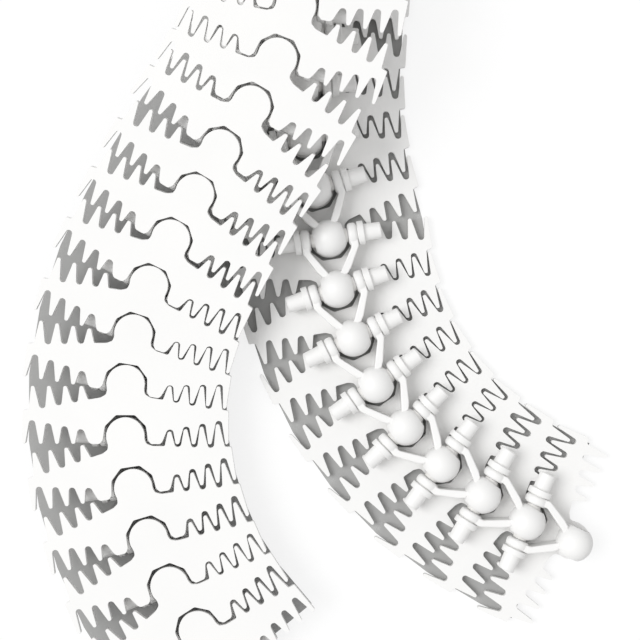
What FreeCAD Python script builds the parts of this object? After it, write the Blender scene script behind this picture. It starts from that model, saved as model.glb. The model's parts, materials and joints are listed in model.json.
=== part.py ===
"""Flat top flexible conveyor chain: thirty moulded links, folded back on themselves.

Every link is the same moulding. Its frame has its origin on the pin axis in the middle
of the head, +Y along the tongue, +X across the chain and +Z out of the flat top. The fork
of the next link straddles the head, and a pin through both ears and a barrel-shaped bush in
the head joins the two: the bush swivels in its cross bore, so the chain bends sideways, and
the pin turns in the ears, so the chain folds.
"""
import FreeCAD, Part
import os
import Sketcher

Vector = FreeCAD.Vector
Rotation = FreeCAD.Rotation
Placement = FreeCAD.Placement
X_AXIS = Vector(1, 0, 0)
Y_AXIS = Vector(0, 1, 0)
Z_AXIS = Vector(0, 0, 1)
ROUNDING = 1e-6

SIZES = {
    # chain
    "pitch": 35.5,
    "half_width": 70.0,
    # top plate
    "plate_thick": 5.0,
    "plate_rise": 15.0,
    "teeth_start": 30.0,
    "comb_margin": 7.0,
    "tooth_pitch": 11.0,
    "tooth_rise": 2.0,
    "tooth_tip": 0.9,
    "gap_floor": 2.4,
    "gap_shift": 1.2,
    "notch_shift": 0.4,
    "tongue_tips": 1.4,
    "tongue_gaps": 12.5,
    "fork_tips": 5.1,
    "fork_gaps": 4.8,
    "edge_step": 4.4,
    "step_back": 18.0,
    "finger_width": 2.2,
    "finger_lead": 0.6,
    "finger_bevel": 0.8,
    "corner_bevel": 1.0,
    "step_rake": 0.8,
    "cheek_bevel": 1.6,
    # tongue and the notch that takes the next tongue
    "tongue_radius": 13.0,
    "neck_half": 12.5,
    "shoulder": 9.2,
    "shoulder_drop": 1.4,
    "shoulder_out": 1.9,
    "shoulder_in": 4.0,
    "neck_flare": 0.7,
    "neck_lead": 2.2,
    "neck_waist": 4.0,
    "notch_depth": 14.5,
    "notch_flat": 6.5,
    "notch_half": 14.0,
    "notch_mouth": 15.4,
    "mouth_lead": 2.6,
    "mouth_flare": 2.0,
    "cheek_end": 23.5,
    # head, arms and fork under the plate
    "head_radius": 12.8,
    "spine_half": 8.5,
    "spine_front": 9.0,
    "spine_back": 12.5,
    "pocket_half": 4.5,
    "spine_drop": 6.0,
    "arm_flare": 2.0,
    "arm_lead": 4.0,
    "ear_gap": 1.3,
    "ear_thick": 5.9,
    "ear_radius": 7.0,
    "ear_back": 4.0,
    "arm_turn": 27.0,
    "flange_radius": 8.4,
    "flange_thick": 2.4,
    "stud_root": 5.9,
    "stud_end": 5.6,
    "stud_reach": 36.0,
    # pivot
    "bush_radius": 7.0,
    "bush_band": 0.5,
    "bush_end": 4.8,
    "bush_gap": 0.3,
    "pin_radius": 3.0,
    "pin_inset": 0.8,
    "running_clearance": 0.04,
    "bore_overrun": 1.0,
}

# Rest angles between one link and the next, in degrees, from the free end on the left
# to the free end on the right. A sideways bend turns about the head's upright axis, and
# a fold about the pin: negative closes the underside, positive bends the chain back.
LEFT_BENDS = [-7, -9, -7, -8, -9, -9, -9, -8, -3, -2, -5, 6, 9, 9]
TURN_BENDS = [-0.45, 9, -6.6]
RIGHT_BENDS = [-1, -6, -7, -6, 7, -9, -8, -9, -9, -9, -6, -7]
# The left limb lies flat, curves up from the table and then climbs to the turn.
FLAT_LINKS = 5
CURVE_LINKS = 5
CURVE_FOLD = 2.87
CLIMB_FOLD = 0.37
CLIMB_LINKS = len(LEFT_BENDS) - FLAT_LINKS - CURVE_LINKS
LEFT_FOLDS = [0] * FLAT_LINKS + [CURVE_FOLD] * CURVE_LINKS + [CLIMB_FOLD] * CLIMB_LINKS
# The turn folds the chain over, and two more folds bring its tops down to the table.
TURN_FOLDS = [-75, -75, -39.7]
LANDING_FOLDS = [-4.45, -1.6]
RIGHT_FOLDS = LANDING_FOLDS + [0] * (len(RIGHT_BENDS) - len(LANDING_FOLDS))
# The first link past the turn that lies flat on its top, and the heading of its tongue.
FLAT_LINK = len(LEFT_BENDS) + len(TURN_BENDS) + len(LANDING_FOLDS)
FLAT_HEADING = 3


# The ears stand clear of the head, and the bush fills the room between them.
EAR_INNER = "(Sizes.head_radius + Sizes.ear_gap)"
EAR_OUTER = f"({EAR_INNER} + Sizes.ear_thick)"
BUSH_HALF = f"({EAR_INNER} - Sizes.bush_gap)"


def make_sheet(doc):
    """Put the driving sizes in a spreadsheet, one aliased cell each."""
    sheet = doc.addObject("Spreadsheet::Sheet", "Sizes")
    for row, (alias, value) in enumerate(SIZES.items(), start=1):
        sheet.set(f"A{row}", alias)
        sheet.set(f"B{row}", str(value))
        sheet.setAlias(f"B{row}", alias)
    doc.recompute()
    return sheet


def origin_plane(body, role):
    """Return one of a body's own origin planes."""
    return next(item for item in body.Origin.OriginFeatures if item.Role == role)


def new_sketch(body, name, height=None, along=None):
    """Start a sketch parallel to the body's XY plane, raised and shifted by expressions."""
    sketch = body.newObject("Sketcher::SketchObject", name)
    sketch.AttachmentSupport = (origin_plane(body, "XY_Plane"), [""])
    sketch.MapMode = "FlatFace"
    if height:
        sketch.setExpression(".AttachmentOffset.Base.z", height)
    if along:
        sketch.setExpression(".AttachmentOffset.Base.y", along)
    return sketch


def bind(sketch, kind, geometry, end, expression):
    """Tie one end of a sketch edge to a distance from the sketch's origin."""
    value = sketch.evalExpression(expression)
    number = sketch.addConstraint(Sketcher.Constraint(kind, -1, 1, geometry, end, value))
    sketch.setExpression(f"Constraints[{number}]", expression)


def draw_outline(sketch, points, arc_radius=None):
    """Draw a closed outline through points given as expressions.

    A point's x or y may be None, which keeps it on that axis. With an arc radius, the
    last edge is an arc about the sketch's origin, whose start follows from its end.
    """
    corners = [
        Vector(*(0 if value is None else sketch.evalExpression(value) for value in point))
        for point in points
    ]
    count = len(points)
    for index, corner in enumerate(corners):
        following = corners[(index + 1) % count]
        if arc_radius and index == count - 1:
            circle = Part.Circle(Vector(), Z_AXIS, sketch.evalExpression(arc_radius))
            first, last = circle.parameter(corner), circle.parameter(following)
            sketch.addGeometry(Part.ArcOfCircle(circle, first, last))
        else:
            sketch.addGeometry(Part.LineSegment(corner, following))
    for index in range(count - 1):
        sketch.addConstraint(Sketcher.Constraint("Coincident", index, 2, index + 1, 1))
    sketch.addConstraint(Sketcher.Constraint("Coincident", count - 1, 2, 0, 1))
    if arc_radius:
        sketch.addConstraint(Sketcher.Constraint("Coincident", count - 1, 3, -1, 1))
    for index, (x_value, y_value) in enumerate(points):
        on_arc = arc_radius and index == count - 1
        if x_value is None:
            sketch.addConstraint(Sketcher.Constraint("PointOnObject", index, 1, -2))
        elif not (on_arc and y_value is None):
            bind(sketch, "DistanceX", index, 1, x_value)
        if y_value is None:
            sketch.addConstraint(Sketcher.Constraint("PointOnObject", index, 1, -1))
        elif not on_arc:
            bind(sketch, "DistanceY", index, 1, y_value)


def comb_teeth(sheet):
    """Return how many teeth fit between the first one and the plate's side."""
    room = sheet.half_width - sheet.comb_margin - sheet.teeth_start
    return int(room / sheet.tooth_pitch + ROUNDING) + 1


def plate_points(teeth):
    """Return the right half of the plate's outline, from the tongue's tip round to its side."""
    start = "Sizes.teeth_start"
    step = "Sizes.tooth_pitch"
    tip_line = "-Sizes.pitch - Sizes.fork_tips"
    points = [
        (None, "Sizes.tongue_radius"),
        (None, "-Sizes.pitch + Sizes.notch_depth"),
        ("Sizes.notch_flat", "-Sizes.pitch + Sizes.notch_depth"),
        ("Sizes.notch_half", "-Sizes.pitch + Sizes.notch_depth - Sizes.notch_half + Sizes.notch_flat"),
        ("Sizes.notch_mouth", f"{tip_line} + Sizes.mouth_lead"),
        ("Sizes.notch_mouth + Sizes.mouth_flare", tip_line),
        ("Sizes.cheek_end", tip_line),
        ("Sizes.cheek_end + Sizes.cheek_bevel", f"{tip_line} + Sizes.cheek_bevel"),
    ]
    for tooth in range(teeth):
        middle = f"{start} + {tooth} * {step} + Sizes.notch_shift"
        floor = f"-Sizes.pitch + Sizes.fork_gaps + {tooth} * Sizes.tooth_rise"
        points.append((f"{middle} - Sizes.gap_floor", floor))
        points.append((f"{middle} + Sizes.gap_floor", floor))
        if tooth < teeth - 1:
            tip = f"{start} + ({tooth} + 0.5) * {step} - Sizes.notch_shift / 2"
            points.append((f"{tip} - Sizes.tooth_tip", tip_line))
            points.append((f"{tip} + Sizes.tooth_tip", tip_line))
    points += [
        ("Sizes.half_width - Sizes.finger_width", f"{tip_line} + Sizes.finger_lead"),
        ("Sizes.half_width - Sizes.finger_width + Sizes.finger_bevel", tip_line),
        ("Sizes.half_width - Sizes.corner_bevel", tip_line),
        ("Sizes.half_width", f"{tip_line} + Sizes.corner_bevel"),
        ("Sizes.half_width", "-Sizes.step_back"),
        ("Sizes.half_width - Sizes.edge_step", "-Sizes.step_back + Sizes.step_rake"),
    ]
    for tooth in reversed(range(teeth)):
        tip = f"{start} + {tooth} * {step}"
        points.append((f"{tip} + Sizes.tooth_tip", "-Sizes.tongue_tips"))
        points.append((f"{tip} - Sizes.tooth_tip", "-Sizes.tongue_tips"))
        if tooth > 0:
            middle = f"{start} + ({tooth} - 0.5) * {step} - Sizes.gap_shift"
            floor = f"-Sizes.tongue_gaps - {tooth - 1} * Sizes.tooth_rise"
            points.append((f"{middle} + Sizes.gap_floor", floor))
            points.append((f"{middle} - Sizes.gap_floor", floor))
    points += [
        ("Sizes.cheek_end + Sizes.shoulder_out", "-Sizes.shoulder - Sizes.shoulder_drop"),
        ("Sizes.tongue_radius + Sizes.shoulder_in", "-Sizes.shoulder"),
        ("Sizes.neck_half + Sizes.neck_flare", "-Sizes.shoulder + Sizes.neck_lead"),
        ("Sizes.neck_half", "-Sizes.neck_waist"),
        ("Sizes.tongue_radius", None),
    ]
    return points


def arm_points():
    """Return the right half of the spine, arm and ear in plan."""
    return [
        (None, "-Sizes.spine_front"),
        (None, "-Sizes.spine_back"),
        ("Sizes.pocket_half", "-Sizes.spine_back"),
        (EAR_INNER, "-Sizes.arm_turn"),
        (EAR_INNER, "-Sizes.pitch - Sizes.ear_back"),
        (EAR_OUTER, "-Sizes.pitch - Sizes.ear_back"),
        (EAR_OUTER, "-Sizes.arm_turn"),
        ("Sizes.spine_half + Sizes.arm_flare", "-Sizes.spine_front - Sizes.arm_lead"),
        ("Sizes.spine_half", "-Sizes.spine_front"),
    ]


def fork_points():
    """Return the profile of an ear boss, its flange and its stud, turned about the pin."""
    return [
        (EAR_INNER, None),
        ("Sizes.stud_reach", None),
        ("Sizes.stud_reach", "Sizes.stud_end"),
        (f"{EAR_OUTER} + Sizes.flange_thick", "Sizes.stud_root"),
        (f"{EAR_OUTER} + Sizes.flange_thick", "Sizes.flange_radius"),
        (EAR_OUTER, "Sizes.flange_radius"),
        (EAR_OUTER, "Sizes.ear_radius"),
        (EAR_INNER, "Sizes.ear_radius"),
    ]


def add_pad(body, sketch, name, length):
    """Pad a sketch upwards by an expression."""
    pad = body.newObject("PartDesign::Pad", name)
    pad.Profile = sketch
    pad.setExpression("Length", length)
    return pad


def add_cross_bore(body, name, radius, half_length, along=None):
    """Bore across the link along X, centred on the pin axis or shifted along Y."""
    bore = body.newObject("PartDesign::SubtractiveCylinder", name)
    bore.setExpression("Radius", radius)
    bore.setExpression("Height", f"2 * ({half_length})")
    bore.Placement = Placement(Vector(), Rotation(Y_AXIS, 90))
    bore.setExpression(".Placement.Base.x", f"-({half_length})")
    if along:
        bore.setExpression(".Placement.Base.y", along)
    return bore


def make_link(doc, sheet):
    """Mould one link: plate, head, spine with its two arms, ears and studs, and its bores."""
    body = doc.addObject("PartDesign::Body", "LinkMoulding")
    plate_sketch = new_sketch(body, "PlateOutline", "Sizes.plate_rise - Sizes.plate_thick")
    draw_outline(plate_sketch, plate_points(comb_teeth(sheet)), "Sizes.tongue_radius")
    plate = add_pad(body, plate_sketch, "HalfPlate", "Sizes.plate_thick")
    arm_sketch = new_sketch(body, "ArmOutline", "-Sizes.spine_drop")
    draw_outline(arm_sketch, arm_points())
    arm_height = "Sizes.plate_rise - Sizes.plate_thick + Sizes.spine_drop"
    arm = add_pad(body, arm_sketch, "HalfArm", arm_height)
    fork_sketch = new_sketch(body, "ForkProfile", along="-Sizes.pitch")
    draw_outline(fork_sketch, fork_points())
    fork = body.newObject("PartDesign::Revolution", "EarAndStud")
    fork.Profile = fork_sketch
    fork.ReferenceAxis = (fork_sketch, ["H_Axis"])
    fork.Angle = 360
    doc.recompute()
    mirrored = body.newObject("PartDesign::Mirrored", "BothHalves")
    mirrored.Originals = [plate, arm, fork]
    mirrored.MirrorPlane = (origin_plane(body, "YZ_Plane"), [""])
    body.Tip = mirrored
    head = body.newObject("PartDesign::AdditiveSphere", "Head")
    head.setExpression("Radius", "Sizes.head_radius")
    doc.recompute()
    add_cross_bore(body, "BushBore", "Sizes.bush_radius + Sizes.running_clearance", EAR_INNER)
    pin_hole = "Sizes.pin_radius + Sizes.running_clearance"
    add_cross_bore(body, "PinBore", pin_hole, "Sizes.stud_reach + Sizes.bore_overrun", "-Sizes.pitch")
    return body


def make_pivot(doc):
    """Make the barrel-shaped bush and the pin of one connection, as two solids."""
    body = doc.addObject("PartDesign::Body", "BushMoulding")
    sketch = new_sketch(body, "BushProfile")
    hole = "Sizes.pin_radius + Sizes.running_clearance"
    draw_outline(
        sketch,
        [
            (f"-{BUSH_HALF}", "Sizes.bush_end"),
            (f"-{BUSH_HALF}", hole),
            (BUSH_HALF, hole),
            (BUSH_HALF, "Sizes.bush_end"),
            ("Sizes.bush_band", "Sizes.bush_radius"),
            ("-Sizes.bush_band", "Sizes.bush_radius"),
        ],
    )
    turned = body.newObject("PartDesign::Revolution", "Barrel")
    turned.Profile = sketch
    turned.ReferenceAxis = (sketch, ["H_Axis"])
    turned.Angle = 360
    pin = doc.addObject("Part::Cylinder", "Pin")
    pin.setExpression("Radius", "Sizes.pin_radius")
    pin.setExpression("Height", "2 * (Sizes.stud_reach - Sizes.pin_inset)")
    pin.Placement = Placement(Vector(), Rotation(Y_AXIS, 90))
    pin.setExpression(".Placement.Base.x", "-(Sizes.stud_reach - Sizes.pin_inset)")
    pivot = doc.addObject("Part::Compound", "BushAndPin")
    pivot.Links = [body, pin]
    return pivot


def chain_places(sheet):
    """Work out where each link and pivot lies, outwards from the flat link after the turn."""
    bends = LEFT_BENDS + TURN_BENDS + RIGHT_BENDS
    folds = LEFT_FOLDS + TURN_FOLDS + RIGHT_FOLDS
    forward = Placement(Vector(0, sheet.pitch, 0), Rotation())
    swivels = [Placement(Vector(), Rotation(Z_AXIS, angle)) for angle in bends]
    hinges = [Placement(Vector(), Rotation(X_AXIS, angle)) for angle in folds]
    links = {}
    tongue_down = Rotation(Z_AXIS, FLAT_HEADING) * Rotation(X_AXIS, 180)
    links[FLAT_LINK] = Placement(Vector(0, 0, sheet.plate_rise), tongue_down)
    for index in range(FLAT_LINK, len(bends)):
        links[index + 1] = links[index] * swivels[index] * hinges[index] * forward
    for index in range(FLAT_LINK - 1, -1, -1):
        back = links[index + 1] * forward.inverse() * hinges[index].inverse()
        links[index] = back * swivels[index].inverse()
    pivots = {index: links[index] * swivels[index] for index in range(len(bends))}
    return links, pivots


def place_copies(doc, master, name, places):
    """Lay linked copies of a master along the chain."""
    copies = []
    for index in sorted(places):
        copy = doc.addObject("App::Link", f"{name}{index + 1:02d}")
        copy.LinkedObject = master
        copy.Label = f"{name}_{index + 1:02d}"
        copy.Placement = places[index]
        copies.append(copy)
    return copies


def stand_at_origin(copies):
    """Move the chain so that the middle of its footprint on the table is the origin."""
    box = FreeCAD.BoundBox()
    for copy in copies:
        box.add(Part.getShape(copy).optimalBoundingBox(False))
    shift = Vector(-box.Center.x, -box.Center.y, -box.ZMin)
    for copy in copies:
        copy.Placement = Placement(shift, Rotation()) * copy.Placement
    return shift


def check(doc, copies):
    """Stop if anything in the document failed or a piece has no sound shape."""
    for item in doc.Objects:
        if {"Invalid", "Error"} & set(item.State):
            raise RuntimeError(f"{item.Label} failed: {item.State}")
    for copy in copies:
        shape = Part.getShape(copy)
        if shape.isNull() or not shape.isValid():
            raise RuntimeError(f"{copy.Label} has no valid shape")


def main():
    """Build the chain and write one file for each link and pivot."""
    doc = FreeCAD.newDocument("FlexibleChain")
    sheet = make_sheet(doc)
    link = make_link(doc, sheet)
    pivot = make_pivot(doc)
    doc.recompute()
    link_places, pivot_places = chain_places(sheet)
    copies = place_copies(doc, link, "link", link_places)
    copies += place_copies(doc, pivot, "pivot", pivot_places)
    doc.recompute()
    shift = stand_at_origin(copies)
    doc.recompute()
    check(doc, copies)
    os.makedirs("parts", exist_ok=True)
    for copy in copies:
        Part.getShape(copy).exportStep(f"parts/{copy.Label}.step")
    print("moved by", shift)


main()
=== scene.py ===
"""Dress the flat top flexible conveyor chain and set it under a camera looking straight down.

Every link of the chain is one moulding, modelled once in the link's own frame and then laid
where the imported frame's joints say. A link's frame has its origin on the pin axis in the
middle of its head, +Y along its tongue, +X across the chain and +Z out of its flat top.
"""
from __future__ import annotations

import json
import logging
import math
from dataclasses import dataclass, field
from enum import Enum

import bmesh
import bpy
from mathutils import Matrix, Vector

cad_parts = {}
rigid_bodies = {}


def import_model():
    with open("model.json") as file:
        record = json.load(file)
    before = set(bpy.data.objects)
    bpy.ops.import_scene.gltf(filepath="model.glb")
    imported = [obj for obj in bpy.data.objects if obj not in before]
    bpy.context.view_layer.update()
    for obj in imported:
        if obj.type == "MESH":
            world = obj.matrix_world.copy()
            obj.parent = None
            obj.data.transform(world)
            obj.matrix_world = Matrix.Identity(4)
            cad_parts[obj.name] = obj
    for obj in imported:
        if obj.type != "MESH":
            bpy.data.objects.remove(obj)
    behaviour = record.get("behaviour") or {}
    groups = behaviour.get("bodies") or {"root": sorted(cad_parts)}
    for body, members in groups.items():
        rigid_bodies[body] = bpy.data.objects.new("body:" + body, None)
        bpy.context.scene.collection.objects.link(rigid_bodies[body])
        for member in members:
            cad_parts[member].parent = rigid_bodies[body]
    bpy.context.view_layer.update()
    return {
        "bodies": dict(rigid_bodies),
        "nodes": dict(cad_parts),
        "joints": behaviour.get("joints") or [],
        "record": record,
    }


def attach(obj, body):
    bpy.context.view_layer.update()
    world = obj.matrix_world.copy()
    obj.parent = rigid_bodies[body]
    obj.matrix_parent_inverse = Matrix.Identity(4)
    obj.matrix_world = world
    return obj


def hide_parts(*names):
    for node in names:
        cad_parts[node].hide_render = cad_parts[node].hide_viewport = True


LOG = logging.getLogger("conveyor_chain")
MM = 0.001
IMAGE_PIXELS = 640
MERGE = 1e-4
ARC_PROFILE = 0.5
WHITE = (1.0, 1.0, 1.0, 1.0)


class Slot(Enum):
    """Material slots of the record."""

    LINK = "link_acetal"
    PIN = "pin_steel"


class Cut(Enum):
    """How one closed shape is combined with another."""

    JOIN = "UNION"
    REMOVE = "DIFFERENCE"


def sharp_corners(
    edges: list[bmesh.types.BMEdge], least: float, width: float = 0.0
) -> list[bmesh.types.BMEdge]:
    """Pick the edges that turn by more than an angle, with room beside them.

    Args:
        edges: Edges to look through.
        least: Smallest turn between the two faces, in degrees.
        width: Smallest width of either face, in millimetres.

    Returns:
        The edges that turn more.
    """
    limit = math.radians(least)
    sharp = [edge for edge in edges if edge.is_manifold and edge.calc_face_angle(0.0) > limit]
    return [
        edge
        for edge in sharp
        if min(face.calc_area() for face in edge.link_faces) >= width * edge.calc_length()
    ]


def round_edges(
    shape: bmesh.types.BMesh, edges: list[bmesh.types.BMEdge], radius: float, facets: int
) -> None:
    """Round edges of a shape over.

    Args:
        shape: Shape to change.
        edges: Its edges to round.
        radius: Width of the rounding, in millimetres.
        facets: Faces across the rounding.
    """
    bmesh.ops.bevel(
        shape,
        geom=edges,
        offset=radius,
        offset_type="OFFSET",
        segments=facets,
        profile=ARC_PROFILE,
        affect="EDGES",
        clamp_overlap=True,
        material=-1,
    )
    bmesh.ops.dissolve_degenerate(shape, edges=shape.edges[:], dist=MERGE)


def mirrored_slab(outline: list[tuple[float, float]], low: float, high: float) -> bmesh.types.BMesh:
    """Extrude an outline's right half, and its mirror image, into one slab.

    Args:
        outline: Corners of the right half, starting and ending on the middle line.
        low: Height of the lower face.
        high: Height of the upper face.

    Returns:
        The closed slab.
    """
    shape = bmesh.new()
    shape.faces.new([shape.verts.new((x, y, low)) for x, y in outline])
    bmesh.ops.mirror(shape, geom=shape.verts[:] + shape.edges[:] + shape.faces[:], axis="X", merge_dist=MERGE)
    bmesh.ops.remove_doubles(shape, verts=shape.verts[:], dist=MERGE)
    bmesh.ops.recalc_face_normals(shape, faces=shape.faces[:])
    bmesh.ops.dissolve_faces(shape, faces=shape.faces[:], use_verts=False)
    grown = bmesh.ops.extrude_face_region(shape, geom=shape.faces[:])
    raised = [item for item in grown["geom"] if isinstance(item, bmesh.types.BMVert)]
    bmesh.ops.translate(shape, verts=raised, vec=(0.0, 0.0, high - low))
    bmesh.ops.recalc_face_normals(shape, faces=shape.faces[:])
    return shape


def upright_edges(shape: bmesh.types.BMesh) -> list[bmesh.types.BMEdge]:
    """Return a slab's edges between its two faces."""
    return [edge for edge in shape.edges if abs(edge.verts[0].co.z - edge.verts[1].co.z) > MERGE]


def rim_edges(shape: bmesh.types.BMesh, height: float) -> list[bmesh.types.BMEdge]:
    """Return a slab's edges round the face at one height."""
    return [edge for edge in shape.edges if all(abs(vert.co.z - height) < MERGE for vert in edge.verts)]


def turned(profile: list[tuple[float, float]], steps: int) -> bmesh.types.BMesh:
    """Spin a profile about the X axis.

    Args:
        profile: Points as distance along X and radius, ending on the axis or back at the first point.
        steps: Faces round the axis.

    Returns:
        The closed turned shape.
    """
    shape = bmesh.new()
    verts = [shape.verts.new((along, radius, 0.0)) for along, radius in profile]
    edges = [shape.edges.new(pair) for pair in zip(verts, verts[1:])]
    bmesh.ops.spin(
        shape,
        geom=verts + edges,
        cent=(0.0, 0.0, 0.0),
        axis=(1.0, 0.0, 0.0),
        angle=2.0 * math.pi,
        steps=steps,
        use_merge=True,
    )
    bmesh.ops.remove_doubles(shape, verts=shape.verts[:], dist=MERGE)
    bmesh.ops.recalc_face_normals(shape, faces=shape.faces[:])
    return shape


def as_object(shape: bmesh.types.BMesh, name: str) -> bpy.types.Object:
    """Turn a shape into an object in the scene, and free the shape."""
    mesh = bpy.data.meshes.new(name)
    shape.to_mesh(mesh)
    shape.free()
    thing = bpy.data.objects.new(name, mesh)
    bpy.context.scene.collection.objects.link(thing)
    return thing


def combine(target: bpy.types.Object, tool: bpy.types.Object, cut: Cut) -> None:
    """Join a tool object to a target, or cut it away, and delete the tool.

    Args:
        target: Object whose mesh is changed.
        tool: Object that is used up.
        cut: Whether the tool is joined or removed.
    """
    change = target.modifiers.new(cut.name, "BOOLEAN")
    change.operation = cut.value
    change.solver = "EXACT"
    change.object = tool
    graph = bpy.context.evaluated_depsgraph_get()
    result = bpy.data.meshes.new_from_object(target.evaluated_get(graph))
    target.modifiers.clear()
    spent = target.data
    target.data = result
    bpy.data.meshes.remove(spent)
    discard(tool)


def discard(thing: bpy.types.Object) -> None:
    """Delete an object and its mesh."""
    mesh = thing.data
    bpy.data.objects.remove(thing)
    bpy.data.meshes.remove(mesh)


def smooth_shade(mesh: bpy.types.Mesh, sharp: float, flat_area: float) -> None:
    """Shade a mesh's rounded stretches smooth and its broad faces flat.

    Args:
        mesh: Mesh in millimetres.
        sharp: Turn in degrees past which an edge stays sharp.
        flat_area: Area in square millimetres past which a face is flat.
    """
    mesh.shade_smooth()
    mesh.set_sharp_from_angle(angle=math.radians(sharp))
    for face in mesh.polygons:
        if face.area > flat_area:
            face.use_smooth = False


@dataclass(frozen=True)
class Finish:
    """A procedural finish, patterned on Object coordinates in metres.

    Attributes:
        name: Name of the material.
        colour: Main colour.
        tint: Colour of its faint clouding.
        roughness: Least and greatest roughness.
        metallic: 1 for metal, 0 for plastic.
        cloud_scale: Clouds to the metre.
        grain_scale: Grains to the metre.
        grain_depth: Height of the grain, in metres.
        stretch: Stretch of the grain along X, Y and Z.
        grain_detail: Octaves of the grain.
        bump_strength: Share of the grain's height that shows.
    """

    name: str
    colour: tuple[float, float, float]
    tint: tuple[float, float, float]
    roughness: tuple[float, float]
    metallic: float
    cloud_scale: float
    grain_scale: float
    grain_depth: float
    stretch: tuple[float, float, float] = (1.0, 1.0, 1.0)
    grain_detail: float = 4.0
    bump_strength: float = 0.5

    def material(self) -> bpy.types.Material:
        """Build the finish's node material.

        Returns:
            The new material.
        """
        material = bpy.data.materials.new(self.name)
        material.use_nodes = True
        nodes, links = material.node_tree.nodes, material.node_tree.links
        shader = nodes["Principled BSDF"]
        shader.inputs["Metallic"].default_value = self.metallic
        place = nodes.new("ShaderNodeTexCoord")
        stretched = nodes.new("ShaderNodeMapping")
        stretched.inputs["Scale"].default_value = self.stretch
        links.new(place.outputs["Object"], stretched.inputs["Vector"])
        clouds = nodes.new("ShaderNodeTexNoise")
        clouds.inputs["Scale"].default_value = self.cloud_scale
        links.new(place.outputs["Object"], clouds.inputs["Vector"])
        grain = nodes.new("ShaderNodeTexNoise")
        grain.inputs["Scale"].default_value = self.grain_scale
        grain.inputs["Detail"].default_value = self.grain_detail
        links.new(stretched.outputs["Vector"], grain.inputs["Vector"])
        colour = nodes.new("ShaderNodeMix")
        colour.data_type = "RGBA"
        colour.inputs["A"].default_value = (*self.colour, 1.0)
        colour.inputs["B"].default_value = (*self.tint, 1.0)
        links.new(clouds.outputs["Fac"], colour.inputs["Factor"])
        links.new(colour.outputs["Result"], shader.inputs["Base Color"])
        sheen = nodes.new("ShaderNodeMapRange")
        sheen.inputs["To Min"].default_value, sheen.inputs["To Max"].default_value = self.roughness
        links.new(grain.outputs["Fac"], sheen.inputs["Value"])
        links.new(sheen.outputs["Result"], shader.inputs["Roughness"])
        bump = nodes.new("ShaderNodeBump")
        bump.inputs["Strength"].default_value = self.bump_strength
        bump.inputs["Distance"].default_value = self.grain_depth
        links.new(grain.outputs["Fac"], bump.inputs["Height"])
        links.new(bump.outputs["Normal"], shader.inputs["Normal"])
        return material


MOULDED_ACETAL = Finish(
    name="moulded_acetal",
    colour=(0.88, 0.875, 0.865),
    tint=(0.84, 0.838, 0.83),
    roughness=(0.36, 0.5),
    metallic=0.0,
    cloud_scale=22.0,
    grain_scale=1500.0,
    grain_depth=0.00006,
)
BUSH_NYLON = Finish(
    name="bush_nylon",
    colour=(0.84, 0.83, 0.81),
    tint=(0.8, 0.79, 0.77),
    roughness=(0.4, 0.55),
    metallic=0.0,
    cloud_scale=60.0,
    grain_scale=1800.0,
    grain_depth=0.00004,
)
GROUND_STEEL = Finish(
    name="ground_steel",
    colour=(0.62, 0.62, 0.63),
    tint=(0.55, 0.55, 0.56),
    roughness=(0.22, 0.38),
    metallic=1.0,
    cloud_scale=40.0,
    grain_scale=2600.0,
    grain_depth=0.00002,
    stretch=(0.2, 1.0, 1.0),
)


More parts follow.
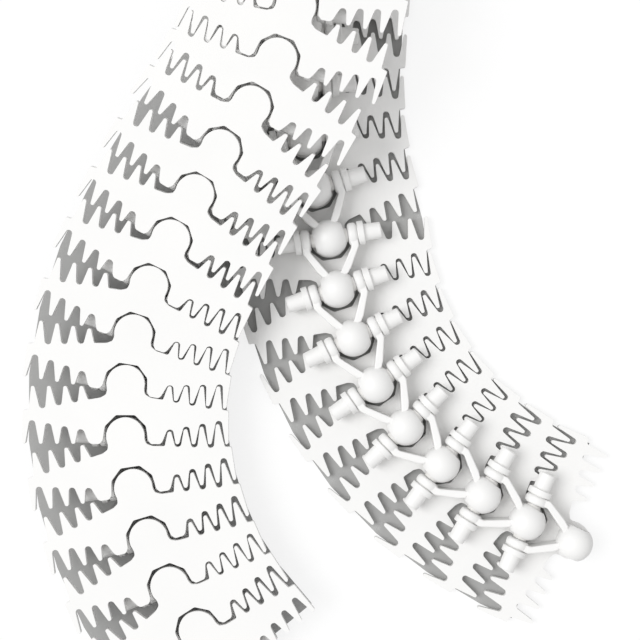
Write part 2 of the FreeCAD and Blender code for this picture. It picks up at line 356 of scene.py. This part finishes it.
@dataclass
class LinkMoulding:
    """One link of the chain, in millimetres in its own frame."""

    pitch: float = 35.5
    half_width: float = 70.0
    plate_low: float = 10.0
    plate_high: float = 15.0
    teeth: int = 4
    teeth_start: float = 30.0
    tooth_pitch: float = 11.0
    tooth_rise: float = 2.0
    tooth_tip: float = 1.05
    gap_floor: float = 1.9
    gap_shift: float = 1.2
    notch_shift: float = 0.4
    tongue_tips: float = 1.4
    tongue_gaps: float = 12.5
    fork_tips: float = 5.1
    fork_gaps: float = 4.8
    edge_step: float = 4.4
    step_back: float = 18.0
    step_rake: float = 0.8
    finger_width: float = 2.2
    finger_lead: float = 0.6
    finger_bevel: float = 0.8
    corner_bevel: float = 1.0
    tongue_radius: float = 13.0
    tongue_steps: int = 14
    neck_half: float = 12.5
    neck_flare: float = 0.7
    neck_lead: float = 2.2
    neck_waist: float = 4.0
    shoulder: float = 9.2
    shoulder_drop: float = 1.4
    shoulder_out: float = 1.9
    shoulder_in: float = 4.0
    notch_depth: float = 14.5
    notch_flat: float = 6.5
    notch_half: float = 14.0
    notch_mouth: float = 15.4
    mouth_lead: float = 2.6
    mouth_flare: float = 2.0
    cheek_end: float = 23.5
    cheek_bevel: float = 1.6
    head_radius: float = 12.8
    head_rings: int = 28
    spine_half: float = 8.5
    spine_front: float = 9.0
    spine_back: float = 10.8
    pocket_half: float = 4.0
    arm_low: float = -6.0
    arm_flare: float = 3.2
    arm_lead: float = 4.0
    arm_turn: float = 27.0
    ear_inner: float = 14.1
    ear_face: float = 13.1
    ear_outer: float = 20.0
    ear_back: float = 4.0
    wall_inset: float = 0.15
    ear_radius: float = 8.0
    slit_width: float = 0.5
    slit_floor: float = 6.2
    flange_radius: float = 8.4
    flange_thick: float = 4.2
    stud_root: float = 5.9
    stud_end: float = 5.6
    stud_reach: float = 36.0
    stud_chamfer: float = 0.6
    bush_bore: float = 7.04
    pin_bore: float = 3.04
    bore_past: float = 1.0
    round_steps: int = 48
    overlap: float = 0.4
    corner_angle: float = 20.0
    corner_round: float = 0.9
    corner_facets: int = 3
    floor_round: float = 1.8
    floor_facets: int = 5
    soft_round: float = 1.4
    soft_facets: int = 4
    rim_angle: float = 60.0
    rim_round: float = 0.35
    rim_facets: int = 2
    arm_round: float = 0.8
    arm_facets: int = 3
    ear_round: float = 2.4
    ear_facets: int = 5
    sharp_angle: float = 38.0
    flat_area: float = 15.0

    def plate_outline(self) -> list[tuple[float, float]]:
        """Return the plate's right half, from its tongue's tip round its side and back."""
        tips = -self.pitch - self.fork_tips
        notch = -self.pitch + self.notch_depth
        points = [
            (0.0, notch),
            (self.notch_flat, notch),
            (self.notch_half, notch - self.notch_half + self.notch_flat),
            (self.notch_mouth, tips + self.mouth_lead),
            (self.notch_mouth + self.mouth_flare, tips),
            (self.cheek_end, tips),
            (self.cheek_end + self.cheek_bevel, tips + self.cheek_bevel),
        ]
        points += self.fork_teeth(tips)
        points += [
            (self.half_width - self.finger_width, tips + self.finger_lead),
            (self.half_width - self.finger_width + self.finger_bevel, tips),
            (self.half_width - self.corner_bevel, tips),
            (self.half_width, tips + self.corner_bevel),
            (self.half_width, -self.step_back),
            (self.half_width - self.edge_step, -self.step_back + self.step_rake),
        ]
        points += self.tongue_teeth()
        points += [
            (self.cheek_end + self.shoulder_out, -self.shoulder - self.shoulder_drop),
            (self.tongue_radius + self.shoulder_in, -self.shoulder),
            (self.neck_half + self.neck_flare, -self.shoulder + self.neck_lead),
            (self.neck_half, -self.neck_waist),
        ]
        for step in range(self.tongue_steps + 1):
            turn = 0.5 * math.pi * step / self.tongue_steps
            points.append((self.tongue_radius * math.cos(turn), self.tongue_radius * math.sin(turn)))
        points[-1] = (0.0, self.tongue_radius)
        return points

    def fork_teeth(self, tips: float) -> list[tuple[float, float]]:
        """Return the comb on the fork side, outwards, with its tips on one line."""
        points = []
        for tooth in range(self.teeth):
            middle = self.teeth_start + tooth * self.tooth_pitch + self.notch_shift
            floor = -self.pitch + self.fork_gaps + tooth * self.tooth_rise
            points += [(middle - self.gap_floor, floor), (middle + self.gap_floor, floor)]
            if tooth < self.teeth - 1:
                tip = self.teeth_start + (tooth + 0.5) * self.tooth_pitch - 0.5 * self.notch_shift
                points += [(tip - self.tooth_tip, tips), (tip + self.tooth_tip, tips)]
        return points

    def tongue_teeth(self) -> list[tuple[float, float]]:
        """Return the comb on the tongue side, inwards."""
        points = []
        for tooth in reversed(range(self.teeth)):
            tip = self.teeth_start + tooth * self.tooth_pitch
            points += [(tip + self.tooth_tip, -self.tongue_tips), (tip - self.tooth_tip, -self.tongue_tips)]
            if tooth > 0:
                middle = self.teeth_start + (tooth - 0.5) * self.tooth_pitch - self.gap_shift
                floor = -self.tongue_gaps - (tooth - 1) * self.tooth_rise
                points += [(middle + self.gap_floor, floor), (middle - self.gap_floor, floor)]
        return points

    def gap_corners(self, shape: bmesh.types.BMesh) -> list[bmesh.types.BMEdge]:
        """Return the plate's upright edges at the floors of the gaps between its teeth."""
        tips = -self.pitch - self.fork_tips
        floors = [point for point in self.fork_teeth(tips) if point[1] > tips + self.corner_bevel]
        floors += [point for point in self.tongue_teeth() if point[1] < -self.tongue_gaps + MERGE]
        return [
            edge
            for edge in upright_edges(shape)
            if min(math.hypot(abs(edge.verts[0].co.x) - x, edge.verts[0].co.y - y) for x, y in floors) < MERGE
        ]

    def plate(self) -> bmesh.types.BMesh:
        """Return the comb-toothed top plate with rounded teeth and rims."""
        shape = mirrored_slab(self.plate_outline(), self.plate_low, self.plate_high)
        round_edges(shape, self.gap_corners(shape), self.floor_round, self.floor_facets)
        corners = sharp_corners(upright_edges(shape), self.corner_angle, 2.0 * self.corner_round)
        round_edges(shape, corners, self.corner_round, self.corner_facets)
        soft = [edge for edge in rim_edges(shape, self.plate_high) if self.on_tongue(edge)]
        soft += [edge for edge in shape.edges if self.on_side(edge)]
        round_edges(shape, soft, self.soft_round, self.soft_facets)
        rims = rim_edges(shape, self.plate_high) + rim_edges(shape, self.plate_low)
        round_edges(shape, sharp_corners(rims, self.rim_angle), self.rim_round, self.rim_facets)
        return shape

    @staticmethod
    def on_tongue(edge: bmesh.types.BMEdge) -> bool:
        """Tell whether an edge runs round the front of the tongue."""
        return all(vert.co.y > 0.0 for vert in edge.verts)

    def on_side(self, edge: bmesh.types.BMEdge) -> bool:
        """Tell whether an edge runs along an outer side of either face."""
        side = self.half_width - self.edge_step - MERGE
        level = abs(edge.verts[0].co.z - edge.verts[1].co.z) < MERGE
        return level and all(abs(vert.co.x) > side for vert in edge.verts)

    def head(self) -> bmesh.types.BMesh:
        """Return the ball-shaped head under the tongue."""
        shape = bmesh.new()
        bmesh.ops.create_uvsphere(
            shape, u_segments=2 * self.head_rings, v_segments=self.head_rings, radius=self.head_radius
        )
        return shape

    def arms(self) -> bmesh.types.BMesh:
        """Return the two arms that part behind the head, with the pocket between them."""
        inner_wall = self.ear_inner + self.wall_inset
        outer_wall = self.ear_outer - self.slit_width - self.wall_inset
        outline = [
            (0.0, -self.spine_front),
            (0.0, -self.spine_back),
            (self.pocket_half, -self.spine_back),
            (inner_wall, -self.arm_turn),
            (inner_wall, -self.pitch - self.ear_back),
            (outer_wall, -self.pitch - self.ear_back),
            (outer_wall, -self.arm_turn),
            (self.spine_half + self.arm_flare, -self.spine_front - self.arm_lead),
            (self.spine_half, -self.spine_front),
        ]
        shape = mirrored_slab(outline, self.arm_low, self.plate_low + self.overlap)
        corners = sharp_corners(upright_edges(shape), self.corner_angle)
        round_edges(shape, corners, self.arm_round, self.arm_facets)
        round_edges(shape, rim_edges(shape, self.arm_low), self.arm_round, self.arm_facets)
        return shape

    def ear_rim(self, wall: float, inwards: int) -> list[tuple[float, float]]:
        """Return the rounding from an ear's wall to its boss.

        Args:
            wall: Place of the wall along X.
            inwards: 1 if the ear lies beyond the wall, -1 if it lies before it.

        Returns:
            Points as distance along X and radius, starting at the wall.
        """
        points = []
        for step in range(self.ear_facets + 1):
            turn = 0.5 * math.pi * step / self.ear_facets
            along = wall + inwards * self.ear_round * (1.0 - math.cos(turn))
            points.append((along, self.ear_radius - self.ear_round * (1.0 - math.sin(turn))))
        return points

    def ear(self, side: int) -> bmesh.types.BMesh:
        """Return one ear's boss, its slit, flange and stud, turned about the fork's pin.

        Args:
            side: 1 for the right ear, -1 for the left.

        Returns:
            The closed boss.
        """
        slit = self.ear_outer - self.slit_width
        flange_end = self.ear_outer + self.flange_thick
        profile = [
            (self.ear_face, 0.0),
            *self.ear_rim(self.ear_face, 1),
            *reversed(self.ear_rim(slit, -1)),
            (slit, self.slit_floor),
            (self.ear_outer, self.slit_floor),
            (self.ear_outer, self.flange_radius - self.rim_round),
            (self.ear_outer + self.rim_round, self.flange_radius),
            (flange_end - self.rim_round, self.flange_radius),
            (flange_end, self.flange_radius - self.rim_round),
            (flange_end, self.stud_root),
            (self.stud_reach - self.stud_chamfer, self.stud_end),
            (self.stud_reach, self.stud_end - self.stud_chamfer),
            (self.stud_reach, 0.0),
        ]
        shape = turned(profile, self.round_steps)
        if side < 0:
            bmesh.ops.scale(shape, verts=shape.verts[:], vec=(-1.0, 1.0, 1.0))
            bmesh.ops.recalc_face_normals(shape, faces=shape.faces[:])
        bmesh.ops.translate(shape, verts=shape.verts[:], vec=(0.0, -self.pitch, 0.0))
        return shape

    def bore(self, radius: float, half_length: float, along: float) -> bmesh.types.BMesh:
        """Return a cutter for a cross bore.

        Args:
            radius: Radius of the bore.
            half_length: Half its length along X.
            along: Place of its axis along Y.

        Returns:
            The closed cutter.
        """
        profile = [(-half_length, 0.0), (-half_length, radius), (half_length, radius), (half_length, 0.0)]
        shape = turned(profile, self.round_steps)
        bmesh.ops.translate(shape, verts=shape.verts[:], vec=(0.0, along, 0.0))
        return shape

    def mould(self) -> bpy.types.Mesh:
        """Join the link's forms, cut its bores and return its mesh in millimetres."""
        link = as_object(self.plate(), "link_pattern")
        for shape in (self.head(), self.arms(), self.ear(1), self.ear(-1)):
            combine(link, as_object(shape, "link_form"), Cut.JOIN)
        head_bore = self.bore(self.bush_bore, self.ear_inner, 0.0)
        combine(link, as_object(head_bore, "head_bore"), Cut.REMOVE)
        ear_bore = self.bore(self.pin_bore, self.stud_reach + self.bore_past, -self.pitch)
        combine(link, as_object(ear_bore, "ear_bore"), Cut.REMOVE)
        mesh = link.data
        bpy.data.objects.remove(link)
        smooth_shade(mesh, self.sharp_angle, self.flat_area)
        return mesh


@dataclass
class PivotSet:
    """The barrel-shaped bush and the pin of one connection, in millimetres in the pivot's frame."""

    pin_radius: float = 3.0
    pin_half: float = 35.2
    pin_chamfer: float = 0.5
    bush_radius: float = 7.0
    bush_half: float = 12.8
    bush_band: float = 0.5
    bush_end: float = 4.8
    bush_hole: float = 3.04
    bush_chamfer: float = 0.4
    round_steps: int = 40
    sharp_angle: float = 38.0
    flat_area: float = 60.0

    def pin(self) -> bpy.types.Mesh:
        """Return the chamfered pin's mesh."""
        profile = [
            (-self.pin_half, 0.0),
            (-self.pin_half, self.pin_radius - self.pin_chamfer),
            (-self.pin_half + self.pin_chamfer, self.pin_radius),
            (self.pin_half - self.pin_chamfer, self.pin_radius),
            (self.pin_half, self.pin_radius - self.pin_chamfer),
            (self.pin_half, 0.0),
        ]
        return self.finished(turned(profile, self.round_steps), "pin_pattern")

    def bush(self) -> bpy.types.Mesh:
        """Return the barrel-shaped bush's mesh, with its hole."""
        right = [
            (self.bush_band, self.bush_radius),
            (self.bush_half - self.bush_chamfer, self.bush_end),
            (self.bush_half, self.bush_end - self.bush_chamfer),
            (self.bush_half, self.bush_hole),
        ]
        left = [(-along, radius) for along, radius in reversed(right)]
        profile = left + right + left[:1]
        return self.finished(turned(profile, self.round_steps), "bush_pattern")

    def finished(self, shape: bmesh.types.BMesh, name: str) -> bpy.types.Mesh:
        """Turn a shape into a smoothly shaded mesh, and free the shape."""
        mesh = bpy.data.meshes.new(name)
        shape.to_mesh(mesh)
        shape.free()
        smooth_shade(mesh, self.sharp_angle, self.flat_area)
        return mesh


@dataclass
class ChainLay:
    """Where the links and pivots lie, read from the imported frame.

    Attributes:
        heads: Place of each link's head by the link's number, and of the first link's fork as 0.
        pin_axes: Direction of the pin in each head, with the same numbers.
    """

    frame: dict
    heads: dict[int, Vector] = field(default_factory=dict)
    pin_axes: dict[int, Vector] = field(default_factory=dict)

    def __post_init__(self) -> None:
        """Read each connection's place and pin axis, and the two free ends' bores."""
        for joint in self.frame["joints"]:
            kind, number = joint["name"].split("_")
            self.heads[int(number)] = Vector(joint["pos_m"])
            if kind == "hinge":
                self.pin_axes[int(number)] = Vector(joint["axis"]).normalized()
        mounts = {mount["name"]: mount for mount in self.frame["record"]["mounts"]}
        self.heads[0] = Vector(mounts["fork_bore"]["pos_m"])
        self.pin_axes[0] = Vector(mounts["fork_bore"]["axis"]).normalized()
        self.heads[self.link_count] = Vector(mounts["head_bore"]["pos_m"])

    @property
    def link_count(self) -> int:
        """Number of links."""
        return len([name for name in self.frame["nodes"] if name.startswith("link_")])

    def link_place(self, number: int) -> Matrix:
        """Return the matrix from a link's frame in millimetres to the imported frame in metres.

        Args:
            number: Number of the link, from 1 at the left limb's end.

        Returns:
            The placing matrix.
        """
        head, fork = self.heads[number], self.heads[number - 1]
        along = (head - fork).normalized()
        up = self.pin_axes[number - 1].cross(along).normalized()
        node = self.frame["nodes"][f"link_{number:02d}"]
        corners = [vert.co for vert in node.data.vertices]
        plate_side = max(corners, key=lambda corner: abs((corner - head).dot(up)))
        if (plate_side - head).dot(up) < 0.0:
            up.negate()
        return self.placing(along.cross(up), along, up, head)

    def pivot_place(self, number: int) -> Matrix:
        """Return the matrix from a pivot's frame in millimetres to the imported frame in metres."""
        across = self.pin_axes[number]
        along = (self.heads[number] - self.heads[number - 1]).normalized()
        up = across.cross(along).normalized()
        return self.placing(across, up.cross(across), up, self.heads[number])

    @staticmethod
    def placing(across: Vector, along: Vector, up: Vector, origin: Vector) -> Matrix:
        """Build a placing matrix from three axes and an origin."""
        turn = Matrix((across, along, up)).transposed().to_4x4()
        return Matrix.Translation(origin) @ turn @ Matrix.Scale(MM, 4)


@dataclass
class Chain:
    """The dressed chain: every link, pin and bush on its own body."""

    lay: ChainLay
    link: LinkMoulding = field(default_factory=LinkMoulding)
    pivot: PivotSet = field(default_factory=PivotSet)

    def build(self) -> None:
        """Lay every piece, dress it and set it on its body."""
        acetal = MOULDED_ACETAL.material()
        nylon = BUSH_NYLON.material()
        steel = GROUND_STEEL.material()
        link_mesh, pin_mesh, bush_mesh = self.link.mould(), self.pivot.pin(), self.pivot.bush()
        for number in range(1, self.lay.link_count + 1):
            node = f"link_{number:02d}"
            piece = self.laid(link_mesh, f"moulded_{node}", self.lay.link_place(number), acetal)
            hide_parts(node)
            self.carry(piece, node, Slot.LINK)
        for number in range(1, self.lay.link_count):
            node = f"pivot_{number:02d}"
            place = self.lay.pivot_place(number)
            pin = self.laid(pin_mesh, f"pin_{number:02d}", place, steel)
            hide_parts(node)
            self.carry(pin, node, Slot.PIN)
            bush = self.laid(bush_mesh, f"bush_{number:02d}", place, nylon)
            self.carry(bush, node, Slot.LINK)
        for mesh in (link_mesh, pin_mesh, bush_mesh):
            bpy.data.meshes.remove(mesh)

    @staticmethod
    def laid(
        pattern: bpy.types.Mesh, name: str, place: Matrix, finish: bpy.types.Material
    ) -> bpy.types.Object:
        """Copy a pattern mesh to its place, with its finish.

        Args:
            pattern: Mesh in millimetres.
            name: Name of the piece.
            place: Placing matrix.
            finish: Material of the piece.

        Returns:
            The piece, with its place in its mesh.
        """
        mesh = pattern.copy()
        mesh.name = name
        mesh.transform(place)
        mesh.materials.clear()
        mesh.materials.append(finish)
        piece = bpy.data.objects.new(name, mesh)
        bpy.context.scene.collection.objects.link(piece)
        return piece

    @staticmethod
    def carry(piece: bpy.types.Object, body: str, slot: Slot) -> None:
        """Set a piece on its body."""
        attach(piece, body)
        LOG.info("%s rides on %s: %d faces", piece.name, body, len(piece.data.polygons))


@dataclass
class Studio:
    """White floor with painted shade under the chain, soft light and the camera over it.

    Attributes:
        lay: Where the links lie.
        camera_place: Place of the camera, in metres.
        focal_pixels: Focal length, in pixels of the picture.
        sensor_mm: Width of the sensor, in millimetres.
        floor_half: Half the floor's width, in metres.
        floor_drop: Depth of the floor below the chain, in metres.
        floor_bounce: Brightness of the floor as the chain's surroundings.
        floor_roughness: Roughness of the floor.
        painted_shade_colour: Grey painted on the strips where the chain is close above, as its shade on the
            floor.
        strip_sides: Places of each strip's two sides across its links, in millimetres.
        strip_pitch: Length of a link between its pins, in millimetres.
        strip_lead: Reach of a strip behind its first pin, in millimetres.
        strip_stop: Distance from a strip's end to its last pin, in millimetres.
        strip_rise: Height of one strip over the next surface below, in metres.
        painted_shade_reach: Distance within which the chain counts as close for the painted shade, in metres.
        painted_shade_open: Share of open sky at which a strip shows the full painted shade and at which it is
            bare.
        level: Least upright part of a level link's upward direction.
        shadow_fade: Share of the floor's shadow that is taken away.
        sky_strength: Strength of the sky as a light.
        sky_seen: Strength of the sky where it is seen.
        lamp_direction: Direction in which the lamp shines.
        lamp_spread: Angle that the lamp covers, in degrees.
        lamp_strength: Strength of the lamp.
    """

    lay: ChainLay
    camera_place: tuple[float, float, float] = (0.00139, 0.00169, 1.00036)
    focal_pixels: float = 1433.7
    sensor_mm: float = 36.0
    floor_half: float = 3.0
    floor_drop: float = 0.0002
    floor_bounce: float = 0.35
    floor_roughness: float = 0.9
    # Grey of the painted shade under the chain.
    painted_shade_colour: tuple[float, float, float] = (0.4, 0.4, 0.395)
    strip_sides: tuple[tuple[float, float], ...] = ((-71.5, 67.4), (-66.8, 66.8))
    strip_pitch: float = 35.5
    strip_lead: float = 4.0
    strip_stop: float = 15.0
    strip_rise: float = 0.00005
    painted_shade_reach: float = 0.08
    painted_shade_open: tuple[float, float] = (0.8, 0.97)
    level: float = 0.9
    shadow_fade: float = 0.8
    sky_strength: float = 0.72
    sky_seen: float = 1.0
    lamp_direction: tuple[float, float, float] = (0.8, -0.1, -1.1)
    lamp_spread: float = 34.0
    lamp_strength: float = 1.55

    def build(self) -> None:
        """Set up the whole stage."""
        self.floor()
        self.lay_painted_shade()
        self.sky()
        self.lamp()
        self.camera()
        bpy.context.scene.view_settings.view_transform = "Standard"

    def floor(self) -> None:
        """Lay the floor that the chain rests on."""
        shape = bmesh.new()
        bmesh.ops.create_grid(shape, x_segments=1, y_segments=1, size=self.floor_half)
        bmesh.ops.translate(shape, verts=shape.verts[:], vec=(0.0, 0.0, -self.floor_drop))
        floor = as_object(shape, "floor")
        floor.data.materials.append(self.floor_material("pale_floor"))

    def floor_material(self, name: str) -> bpy.types.Material:
        """Return the floor's finish.

        Args:
            name: Name of the new material.

        Returns:
            The new material, seen as white under the chain's faded shadow, and lighting the chain as grey.
        """
        material = bpy.data.materials.new(name)
        material.use_nodes = True
        nodes, links = material.node_tree.nodes, material.node_tree.links
        shader = nodes["Principled BSDF"]
        shader.inputs["Roughness"].default_value = self.floor_roughness
        shader.inputs["Specular IOR Level"].default_value = 0.0
        seen = self.seen(material.node_tree)
        tone = nodes.new("ShaderNodeMapRange")
        tone.inputs["To Min"].default_value = self.floor_bounce
        links.new(seen, tone.inputs["Value"])
        links.new(tone.outputs["Result"], shader.inputs["Base Color"])
        share = nodes.new("ShaderNodeMath")
        share.operation = "MULTIPLY"
        share.inputs[1].default_value = self.shadow_fade
        links.new(seen, share.inputs[0])
        glow = nodes.new("ShaderNodeEmission")
        mixed = nodes.new("ShaderNodeMixShader")
        links.new(share.outputs["Value"], mixed.inputs["Fac"])
        links.new(shader.outputs["BSDF"], mixed.inputs[1])
        links.new(glow.outputs["Emission"], mixed.inputs[2])
        links.new(mixed.outputs["Shader"], nodes["Material Output"].inputs["Surface"])
        return material

    @staticmethod
    def seen(tree: bpy.types.NodeTree) -> bpy.types.NodeSocket:
        """Add the nodes that pick out the rays in which the stage itself is seen.

        Args:
            tree: Node tree of the floor's material or of the world.

        Returns:
            A socket that is 1 for rays from the camera, or by way of metal or glass, and 0 for the rest.
        """
        path = tree.nodes.new("ShaderNodeLightPath")
        socket = path.outputs["Is Camera Ray"]
        for name in ("Is Glossy Ray", "Is Transmission Ray"):
            either = tree.nodes.new("ShaderNodeMath")
            either.operation = "MAXIMUM"
            tree.links.new(socket, either.inputs[0])
            tree.links.new(path.outputs[name], either.inputs[1])
            socket = either.outputs["Value"]
        return socket

    def lay_painted_shade(self) -> None:
        """Lay a strip of floor under each limb, painted grey as shade where the chain is close above it."""
        material = self.painted_shade_material()
        for number, (run, sides) in enumerate(zip(self.level_runs(), self.strip_sides), 1):
            height = number * self.strip_rise - self.floor_drop
            strip = as_object(self.strip(run, sides, height), f"painted_shade_sheet_{number}")
            strip.data.materials.append(material)

    def painted_shade_material(self) -> bpy.types.Material:
        """Return the finish of the strips, with the chain's shade painted on.

        Returns:
            The new material, painted grey as shade under the chain and like the rest of the floor where the
            chain is away.
        """
        material = self.floor_material("painted_shade_strip")
        nodes, links = material.node_tree.nodes, material.node_tree.links
        surface = nodes["Material Output"].inputs["Surface"]
        bare = surface.links[0].from_socket
        # Painted shade: a grey diffuse stands in for the chain's shadow on the floor.
        painted_shade_bsdf = nodes.new("ShaderNodeBsdfDiffuse")
        painted_shade_bsdf.inputs["Color"].default_value = (*self.painted_shade_colour, 1.0)
        # Ambient occlusion masks the painted shade to where the chain is close above.
        clear = nodes.new("ShaderNodeAmbientOcclusion")
        clear.inputs["Distance"].default_value = self.painted_shade_reach
        share = nodes.new("ShaderNodeMapRange")
        share.inputs["From Min"].default_value, share.inputs["From Max"].default_value = self.painted_shade_open
        links.new(clear.outputs["AO"], share.inputs["Value"])
        mixed = nodes.new("ShaderNodeMixShader")
        links.new(share.outputs["Result"], mixed.inputs["Fac"])
        links.new(painted_shade_bsdf.outputs["BSDF"], mixed.inputs[1])
        links.new(bare, mixed.inputs[2])
        links.new(mixed.outputs["Shader"], surface)
        return material

    def level_runs(self) -> list[list[Matrix]]:
        """Return the placing matrices of the links that lie level, run by run."""
        runs: list[list[Matrix]] = [[]]
        for number in range(1, self.lay.link_count + 1):
            place = self.lay.link_place(number)
            if abs(place.to_3x3().col[2].normalized().z) > self.level:
                runs[-1].append(place)
            elif runs[-1]:
                runs.append([])
        return [run for run in runs if run]

    def strip(self, run: list[Matrix], sides: tuple[float, float], height: float) -> bmesh.types.BMesh:
        """Return the strip under one run of links, which carries the painted shade.

        Args:
            run: Placing matrices of the links, in order.
            sides: Places of its two sides across the links, in millimetres.
            height: Height of the strip, in metres.

        Returns:
            The flat strip.
        """
        pairs = []
        for side in sides:
            heads = [place @ Vector((side, 0.0, 0.0)) for place in run]
            forks = [place @ Vector((side, -self.strip_pitch, 0.0)) for place in run]
            start = run[0] @ Vector((side, -self.strip_pitch - self.strip_lead, 0.0))
            stop = run[-1] @ Vector((side, -self.strip_stop, 0.0))
            joined = [(head + fork) / 2.0 for head, fork in zip(heads, forks[1:])]
            pairs.append([start, *joined, stop])
        shape = bmesh.new()
        rails = [[shape.verts.new((point.x, point.y, height)) for point in rail] for rail in pairs]
        for left, right, left_next, right_next in zip(rails[0], rails[1], rails[0][1:], rails[1][1:]):
            shape.faces.new((left, right, right_next, left_next))
        bmesh.ops.recalc_face_normals(shape, faces=shape.faces[:])
        return shape

    def sky(self) -> None:
        """Light the chain evenly from above, and show white where the sky itself is seen."""
        world = bpy.data.worlds.new("soft_sky")
        world.use_nodes = True
        nodes, links = world.node_tree.nodes, world.node_tree.links
        background = nodes["Background"]
        background.inputs["Color"].default_value = WHITE
        strength = nodes.new("ShaderNodeMapRange")
        strength.inputs["To Min"].default_value = self.sky_strength
        strength.inputs["To Max"].default_value = self.sky_seen
        links.new(self.seen(world.node_tree), strength.inputs["Value"])
        links.new(strength.outputs["Result"], background.inputs["Strength"])
        bpy.context.scene.world = world

    def lamp(self) -> None:
        """Shine the soft lamp across the chain from the left."""
        data = bpy.data.lights.new("soft_lamp", "SUN")
        data.angle = math.radians(self.lamp_spread)
        data.energy = self.lamp_strength
        lamp = bpy.data.objects.new("soft_lamp", data)
        lamp.rotation_euler = Vector(self.lamp_direction).to_track_quat("-Z", "Y").to_euler()
        bpy.context.scene.collection.objects.link(lamp)

    def camera(self) -> None:
        """Hang the camera over the floor, looking straight down."""
        data = bpy.data.cameras.new("camera")
        data.sensor_width = self.sensor_mm
        data.lens = self.focal_pixels * self.sensor_mm / IMAGE_PIXELS
        camera = bpy.data.objects.new("camera", data)
        camera.location = self.camera_place
        bpy.context.scene.collection.objects.link(camera)
        bpy.context.scene.camera = camera


def main() -> None:
    """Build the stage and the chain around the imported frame."""
    logging.basicConfig(level=logging.INFO, format="%(name)s: %(message)s")
    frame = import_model()
    lay = ChainLay(frame)
    Studio(lay).build()
    Chain(lay).build()


if __name__ == "__main__":
    main()
